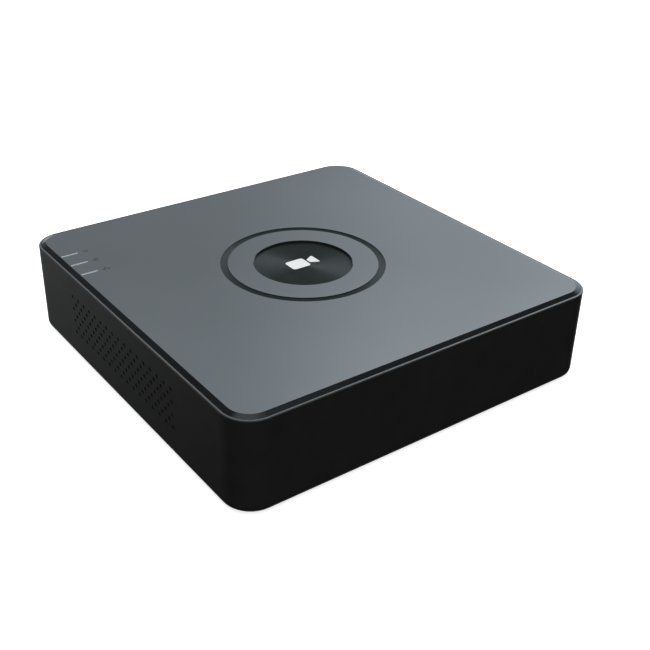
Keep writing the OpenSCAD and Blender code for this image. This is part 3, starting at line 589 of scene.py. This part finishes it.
def rear_print(white):
    """White print on the steel panel: socket numbers and plain pictograms."""
    bm = bmesh.new()
    places = {1: (9.75, 0), 2: (-7.55, 4.6), 3: (9.75, 0), 4: (-7.55, 8.2)}
    for number, (du, dv) in places.items():
        x, _, z = middle("bnc_shell_%d" % number)
        numeral(bm, number, du - x, z + dv)
    for node, turn in (("audio_shell_in", 1), ("audio_shell_out", -1)):
        x, _, z = middle(node)
        arrow(bm, -x - 7.4, z, turn)
    for node, above in (("vga_shell", 10.4), ("hdmi_shell", 7.8)):
        x, _, z = middle(node)
        screen_sign(bm, -x, z + above)
    linked_boxes(bm, -middle("lan_shield")[0], highest("lan_shield")[2] + 5.3)
    plug_sign(bm, -middle("usb_shell")[0], highest("usb_shell")[2] + 5)
    terminal_u, terminal_v = -middle("terminal_block")[0], highest("terminal_block")[2] + 4
    bar(bm, terminal_u + 1.9, terminal_v, 1.5, 0.35)
    plus_sign(bm, terminal_u - 1.9, terminal_v, 1.5, 0.35, 0.5, 0.62)
    centre_positive_sign(bm, -middle("power_jack")[0], highest("power_jack")[2] + 4.9)
    screw_x, _, screw_z = middle("ground_screw")
    earth_sign(bm, 7 - screw_x, screw_z + 0.5)
    piece("rear_print", bm, white, "case")


# ---------------------------------------------------------------- contacts and windows

def network_wires(bm):
    """Eight sprung wires that slant down into the network socket's mouth."""
    middle_x = middle("lan_insert")[0]
    front = highest("lan_insert")[1]
    mouth_top = BOARD_TOP + 10.4
    count, pitch, half_width = 8, 1.02, 0.23
    lower = [(front - 1.1, mouth_top - 0.4), (front - 1.7, mouth_top - 0.4),
             (front - 9.6, mouth_top - 3.9), (front - 9.9, mouth_top - 4.2)]
    upper = [(front - 1.1, mouth_top - 0.05), (front - 1.8, mouth_top - 0.05),
             (front - 9.8, mouth_top - 3.55), (front - 10.25, mouth_top - 4.1)]
    for i in range(count):
        x = middle_x + (i - (count - 1) / 2) * pitch
        band(bm, lower, upper, x - half_width, x + half_width, lambda u, v, w: at(w, u, v))


def serial_bus_strips(bm):
    """Four strips under each of the two serial-bus tongues."""
    middle_x = middle("usb_tongues")[0]
    front = highest("usb_tongues")[1]
    for tongue_z in (BOARD_TOP + 4.2, BOARD_TOP + 12.1):
        for dx in (-3.5, -1, 1, 3.5):
            x = middle_x + dx
            block(bm, x - 0.5, x + 0.5, front - 9.3, front - 0.4, tongue_z - 0.08, tongue_z - 0.01)


def monitor_strips(bm):
    """Ten strips over the digital monitor socket's tongue and nine under it."""
    middle_x, _, tongue_z = middle("hdmi_tongue")
    front = highest("hdmi_tongue")[1]
    for i in range(10):
        x = middle_x - 4.5 + i
        block(bm, x - 0.2, x + 0.2, front - 7.3, front - 0.3, tongue_z + 0.61, tongue_z + 0.67)
        if i < 9:
            block(bm, x + 0.3, x + 0.7, front - 7.3, front - 0.3, tongue_z - 0.57, tongue_z - 0.51)


def socket_contacts(materials):
    """Gold contacts in the sockets, and the network socket's two windows."""
    bm = bmesh.new()
    network_wires(bm)
    serial_bus_strips(bm)
    monitor_strips(bm)
    piece("socket_contacts", bm, materials["contact_gold"], "case")
    front = highest("lan_insert")[1]
    for name, dx, colour in (("network_window_a", -5.4, "green_plastic"),
                             ("network_window_b", 5.4, "ivory_plastic")):
        bm = bmesh.new()
        window = rounded(middle("lan_insert")[0] + dx, BOARD_TOP + 12, 2.6, 1.6, 0.3)
        prism(bm, window, front + 0.01, front + 0.15, lambda u, v, w: at(u, w, v))
        piece(name, bm, materials[colour], "case")


# ---------------------------------------------------------------- drive lid and labels

def drive_screws(steel):
    """The drive lid's six screws, each with a star recess."""
    low_x, low_y, _ = lowest("drive_lid")
    high_x, high_y, _ = highest("drive_lid")
    inset_x, inset_y = 4.5, 3.3
    star_radii = [1.0 if i % 4 < 2 else 0.72 for i in range(24)]
    bm = bmesh.new()
    for x in (low_x + inset_x, middle("drive_lid")[0], high_x - inset_x):
        for y in (low_y + inset_y, high_y - inset_y):
            star = [(x + radius * math.cos(i * math.pi / 12), y + radius * math.sin(i * math.pi / 12))
                    for i, radius in enumerate(star_radii)]
            cup(bm, disc(x, y, 1.95), star, LID_TOP - 0.58, LID_TOP - 0.45, LID_TOP - 0.05)
    piece("drive_lid_screws", bm, steel, "case")


def ruled_label(name, paper, ink, place, size, face, out, rows, columns=()):
    """A blank label with a printed border and rules, on a face that looks up (out 1) or down (out -1).
    rows are the y of level rules and columns are (x, from y, to y) of upright ones, all from the
    label's middle."""
    x, y = place
    width, height = size
    half_rule = width / 2 - 2.4
    bm = bmesh.new()
    prism(bm, rounded(x, y, width, height, 2), *sorted((face + 0.01 * out, face + 0.07 * out)))
    piece(name, bm, paper, "case")
    bm = bmesh.new()
    low, high = sorted((face + 0.08 * out, face + 0.1 * out))
    frame_shape(bm, x, y, width - 4, height - 4, 0.4, low, high)
    for row in rows:
        block(bm, x - half_rule, x + half_rule, y + row, y + row + 0.3, low, high)
    for column, start, end in columns:
        block(bm, x + column, x + column + 0.3, y + start, y + end, low, high)
    piece(name + "_rules", bm, ink, "case")


def drive_label(paper, ink):
    lid_x, lid_y, _ = middle("drive_lid")
    ruled_label("drive_label", paper, ink, (lid_x + 33.5, lid_y + 15.7), (58, 44), LID_TOP, 1,
                rows=(10, -1, -7), columns=[(8, -0.7, 10)])


def underside_label(paper, ink):
    ruled_label("underside_label", paper, ink, (0, 45), (64, 34), UNDERSIDE, -1, rows=(-7, 1))


# ---------------------------------------------------------------- board print

def grid_over(node, columns, rows, width, depth):
    """The middles of equal parts, width by depth, that stand in a grid and fill a node's box."""
    (x0, y0, _), (x1, y1, _) = lowest(node), highest(node)
    xs = [x0 + width / 2 + i * (x1 - x0 - width) / (columns - 1) for i in range(columns)]
    ys = [y0 + depth / 2 + i * (y1 - y0 - depth) / max(rows - 1, 1) for i in range(rows)]
    return [(x, y) for x in xs for y in ys]


# The parts' middles, then their outlines as x, y, width and depth
MEMORY_CHIPS = grid_over("memory_chips", 2, 2, 12.8, 14)
DECODER_CHIPS = grid_over("decoder_chips", 2, 1, 16.8, 16.8)
INDUCTORS = grid_over("inductors", 3, 1, 6.6, 6.6)
LARGE_CAPACITORS = [(70 + i * 8, 62) for i in range(3)]
SMALL_CAPACITORS = [(-74 + i * 9, 70) for i in range(4)]
SINK_OUTLINE = (*middle("heat_sink")[:2], 38, 38)
ROUND_OUTLINES = [(*place, 7.2, 7.2) for place in LARGE_CAPACITORS]
ROUND_OUTLINES += [(*place, 6, 6) for place in SMALL_CAPACITORS]
SQUARE_OUTLINES = [(*place, 15.6, 16.4) for place in MEMORY_CHIPS]
SQUARE_OUTLINES += [(*place, 20, 20) for place in DECODER_CHIPS]
SQUARE_OUTLINES += [(*place, 7.6, 7.6) for place in INDUCTORS]


def board_print(white):
    """White outlines and pin-one dots around the larger parts, and dots on the chips themselves."""
    low, high = BOARD_TOP + 0.005, BOARD_TOP + 0.03
    line = 0.2
    bm = bmesh.new()
    for x, y, width, _ in ROUND_OUTLINES:
        ring(bm, x, y, width / 2 - line, width / 2, low, high)
    for x, y, width, depth in SQUARE_OUTLINES:
        frame_shape(bm, x, y, width, depth, line, low, high)
        prism(bm, disc(x - width / 2 - 0.7, y + depth / 2 - 0.6, 0.35, 12), low, high)
    frame_shape(bm, *SINK_OUTLINE, line, low, high)
    memory_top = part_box("memory_chips")[1].z / MM
    decoder_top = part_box("decoder_chips")[1].z / MM
    for chip_top, places, dx, dy, radius in ((memory_top, MEMORY_CHIPS, -4.3, 5.8, 0.4),
                                             (decoder_top, DECODER_CHIPS, -6.2, 6.2, 0.5)):
        for x, y in places:
            prism(bm, disc(x + dx, y + dy, radius, 12), chip_top + 0.002, chip_top + 0.02)
    piece("board_print", bm, white, "case")


# ---------------------------------------------------------------- small parts on the board

CLEARANCE = 0.4
HEADROOM = 4  # above the board
DOT_ROOM = 1.2  # for the pin-one dot beside an outline
FREE_HALF_WIDTH, FREE_FRONT, FREE_REAR = 92, 10, 94
CHIP_COUNT, CHIP_ROOM, LEAD_PITCH = 9, (7.4, 6.2), 1.27
ROW_COUNT, ROW_DEPTH, ROW_PITCH = 110, 1.9, 1.5


def cells_between(x0, x1, y0, y1):
    """The 1 mm cells that a rectangle touches."""
    return {(i, j) for i in range(math.floor(x0), math.floor(x1) + 1)
            for j in range(math.floor(y0), math.floor(y1) + 1)}


def taken_cells():
    """The cells of the board that something already stands on or hangs just over."""
    cells = set()
    low, high = (BOARD_TOP + 0.05) * MM, (BOARD_TOP + HEADROOM) * MM

    def take(x0, x1, y0, y1):
        cells.update(cells_between(x0 - CLEARANCE, x1 + CLEARANCE, y0 - CLEARANCE, y1 + CLEARANCE))

    for name in sorted(NODES):
        if name == "main_board":
            continue
        mesh = NODES[name].data
        for polygon in mesh.polygons:
            corners = [mesh.vertices[i].co for i in polygon.vertices]
            if min(c.z for c in corners) > high or max(c.z for c in corners) < low:
                continue
            xs = [c.x / MM for c in corners]
            ys = [(c.y - CENTRE_Y) / MM for c in corners]
            take(min(xs), max(xs), min(ys), max(ys))
    for x, y, width, depth in SQUARE_OUTLINES + ROUND_OUTLINES + [SINK_OUTLINE]:
        take(x - width / 2 - DOT_ROOM, x + width / 2, y - depth / 2, y + depth / 2)
    return cells


def claim(cells, x, y, width, depth):
    """True, and its cells taken, if the rectangle centred here is free."""
    x0, x1, y0, y1 = x - width / 2, x + width / 2, y - depth / 2, y + depth / 2
    if abs(x) + width / 2 > FREE_HALF_WIDTH or y0 < FREE_FRONT or y1 > FREE_REAR:
        return False
    wanted = cells_between(x0, x1, y0, y1)
    if wanted & cells:
        return False
    cells.update(wanted)
    return True


def on_board(bm, x, y, width, depth, low, high):
    """A block centred on the board, low to high above its top."""
    prism(bm, rect(x, y, width, depth), BOARD_TOP + low, BOARD_TOP + high)


def eight_lead_chip(meshes, x, y):
    on_board(meshes["chips"], x, y, 3.9, 4.9, 0.15, 1.5)
    for side in (-1, 1):
        for k in range(4):
            lead_y = y + (k - 1.5) * LEAD_PITCH
            for out, length, low, high in ((2.2, 0.5, 0.55, 0.75), (2.6, 0.3, 0.02, 0.76),
                                           (2.95, 0.4, 0.02, 0.2)):
                on_board(meshes["tin"], x + side * out, lead_y, length, 0.42, low, high)


def chip_row(meshes, kind, x, y, count, turned, height):
    """A row of chip resistors or capacitors, each a body between two tinned ends."""
    blocks = ((meshes[kind], 0, 1.0, 0.8, height), (meshes["tin"], -0.66, 0.3, 0.84, height + 0.03),
              (meshes["tin"], 0.66, 0.3, 0.84, height + 0.03))
    for k in range(count):
        shift = (k - (count - 1) / 2) * ROW_PITCH
        for bm, offset, length, width, top in blocks:
            if turned:
                on_board(bm, x + offset, y + shift, length, width, 0.02, top)
            else:
                on_board(bm, x + shift, y + offset, width, length, 0.02, top)


def small_parts(materials):
    """A few eight-lead chips and rows of capacitors and resistors, wherever the board is free."""
    cells = taken_cells()
    rng = random.Random(11)
    meshes = {name: bmesh.new() for name in ("chips", "resistors", "capacitors", "tin")}
    chips = 0
    while chips < CHIP_COUNT:
        x, y = rng.uniform(-90, 90), rng.uniform(11, 92)
        if claim(cells, x, y, *CHIP_ROOM):
            eight_lead_chip(meshes, x, y)
            chips += 1
    rows = 0
    while rows < ROW_COUNT:
        x, y = rng.uniform(-91, 91), rng.uniform(11, 93)
        count = rng.randint(1, 5)
        turned = rng.random() < 0.5
        kind, height = rng.choice((("resistors", 0.45), ("capacitors", 0.8)))
        size = (ROW_DEPTH, count * ROW_PITCH) if turned else (count * ROW_PITCH, ROW_DEPTH)
        if claim(cells, x, y, *size):
            chip_row(meshes, kind, x, y, count, turned, height)
            rows += 1
    for name, look, slot in (("chips", "chip_plastic", "chip_plastic"),
                             ("resistors", "chip_plastic", "chip_plastic"),
                             ("capacitors", "tan_ceramic", "ivory_plastic"),
                             ("tin", "nickel_plate", "nickel_plate")):
        piece("board_" + name, meshes[name], materials[look], "case")


# ---------------------------------------------------------------- stage and light

# colour, strength, level around the azimuth (degrees) and level up the elevation (degrees)
STUDIO_LAMPS = [
    # The large soft box behind the object, which the cover mirrors
    ((0.88, 1.0, 1.09), 4.9,
     [(-8, 0), (10, 0.4), (28, 0.45), (45, 0.79), (56, 1), (66, 1), (84, 0)],
     [(0, 0.15), (14, 0.24), (20, 0.31), (23, 0.45), (26, 0.5), (29, 0.66), (32, 0.84), (35, 1), (38, 1),
      (44, 0.2), (49, 0)]),
    # The glow along the back of the floor
    ((0.95, 1.0, 0.97), 0.75,
     [(-75, 0), (-40, 1), (34, 1), (48, 0.25), (75, 0.25), (100, 0)],
     [(-45, 0), (-36, 0.04), (-28, 0.16), (-18, 0.5), (-9, 0.8), (0, 1), (8, 0.6), (14, 0)]),
    # The dim room on the camera's side
    ((1.0, 1.0, 1.0), 1.1,
     [(-180, 1), (-105, 1), (-80, 0.36), (-45, 0), (90, 0), (120, 0.4), (138, 0.45), (148, 0.95), (180, 1)],
     [(-2, 0), (10, 1), (40, 1), (55, 0)]),
    # A soft glow overhead, for views from above
    ((0.95, 1.0, 1.03), 0.9,
     [(-100, 0), (-60, 1), (60, 1), (100, 0)],
     [(58, 0), (72, 1), (90, 1)]),
]


FLOOR_SIDE = 6.0  # metres


def overhead_light():
    """A large soft light straight above, which polished faces don't mirror."""
    data = bpy.data.lights.new("overhead", "AREA")
    data.shape = "RECTANGLE"
    data.size = data.size_y = 2.4
    data.energy = 45
    light = bpy.data.objects.new("overhead", data)
    SCENE.collection.objects.link(light)
    light.location = (0, 0, 2.0)
    light.visible_camera = False
    light.visible_glossy = False


def make_floor():
    """A matt white floor, which the object doesn't mirror."""
    corners = [(x, y, 0) for x, y in rect(0, 0, FLOOR_SIDE, FLOOR_SIDE)]
    mesh = bpy.data.meshes.new("floor")
    mesh.from_pydata(corners, [], [(0, 1, 2, 3)])
    floor = bpy.data.objects.new("floor", mesh)
    SCENE.collection.objects.link(floor)
    g = Graph("floor_look")
    g.mottle(0.4, (0.86, 0.86, 0.86), (0.88, 0.88, 0.88))
    g.set(Roughness=0.9, Specular_IOR_Level=0.1, Emission_Color=(1, 1, 1, 1), Emission_Strength=0.7)
    mesh.materials.append(g.material)
    floor.visible_glossy = False
    floor.visible_diffuse = False


def direction_ramp(tree, value, stops):
    """A smooth ramp over a value from 0 to 1. stops are (position, level)."""
    ramp = tree.nodes.new("ShaderNodeValToRGB")
    ramp.color_ramp.interpolation = "EASE"
    elements = ramp.color_ramp.elements
    while len(elements) < len(stops):
        elements.new(0.5)
    for element, (position, level) in zip(elements, stops):
        element.position = position
        element.color = (level, level, level, 1)
    tree.links.new(value, ramp.inputs["Fac"])
    return ramp.outputs["Color"]


def make_world():
    """A soft studio, by direction: each lamp is a patch between some azimuths and some elevations.
    Azimuth 0 is +Y and 90 is +X."""
    world = bpy.data.worlds.new("studio")
    SCENE.world = world
    world.use_nodes = True
    tree = world.node_tree
    tree.nodes.clear()

    def calc(operation, *values):
        made = tree.nodes.new("ShaderNodeMath")
        made.operation = operation
        for socket, value in zip(made.inputs, values):
            if isinstance(value, (int, float)):
                socket.default_value = value
            else:
                tree.links.new(value, socket)
        return made.outputs[0]

    split = tree.nodes.new("ShaderNodeSeparateXYZ")
    tree.links.new(tree.nodes.new("ShaderNodeTexCoord").outputs["Generated"], split.inputs[0])
    around_z = calc("ARCTAN2", split.outputs["X"], split.outputs["Y"])
    azimuth = calc("MULTIPLY_ADD", around_z, 0.5 / math.pi, 0.5)
    height = calc("MULTIPLY_ADD", split.outputs["Z"], 0.5, 0.5)
    total = None
    for colour, strength, around, up in STUDIO_LAMPS:
        across = [(angle / 360 + 0.5, level) for angle, level in around]
        upwards = [(math.sin(math.radians(angle)) / 2 + 0.5, level) for angle, level in up]
        sides = direction_ramp(tree, azimuth, across)
        rise = direction_ramp(tree, height, upwards)
        lamp = tree.nodes.new("ShaderNodeBackground")
        lamp.inputs["Color"].default_value = (*colour, 1)
        tree.links.new(calc("MULTIPLY", calc("MULTIPLY", sides, rise), strength), lamp.inputs["Strength"])
        if total is None:
            total = lamp.outputs[0]
        else:
            add = tree.nodes.new("ShaderNodeAddShader")
            tree.links.new(total, add.inputs[0])
            tree.links.new(lamp.outputs[0], add.inputs[1])
            total = add.outputs[0]
    backdrop = tree.nodes.new("ShaderNodeBackground")
    backdrop.inputs["Color"].default_value = (1, 1, 1, 1)
    mix = tree.nodes.new("ShaderNodeMixShader")
    tree.links.new(tree.nodes.new("ShaderNodeLightPath").outputs["Is Camera Ray"], mix.inputs["Fac"])
    tree.links.new(total, mix.inputs[1])
    tree.links.new(backdrop.outputs[0], mix.inputs[2])
    tree.links.new(mix.outputs[0], tree.nodes.new("ShaderNodeOutputWorld").inputs["Surface"])


def make_stage():
    SCENE.view_settings.view_transform = "Standard"
    make_floor()
    make_world()
    overhead_light()


materials = make_materials()
dress_nodes(materials)
white_print = plastic("white_print_look", (0.6, 0.6, 0.59), (0.45, 0.6), 0.2 * MM, 0.004 * MM, spread=0.04)
dark_print = plastic("dark_print_look", (0.022, 0.024, 0.025), (0.5, 0.65), 0.2 * MM, 0.004 * MM,
                     spread=0.1, Specular_IOR_Level=0.25)
paper = plastic("paper_label_look", (0.62, 0.63, 0.63), (0.5, 0.65), 0.3 * MM, 0.004 * MM, spread=0.04)
materials["tan_ceramic"] = plastic("tan_ceramic_look", (0.3, 0.2, 0.12), (0.4, 0.55), spread=0.15)
badge_mark(white_print)
indicator_marks(dark_print)
rear_print(white_print)
socket_contacts(materials)
drive_screws(materials["screw_steel"])
drive_label(paper, dark_print)
underside_label(paper, dark_print)
board_print(white_print)
small_parts(materials)
make_camera()
make_stage()
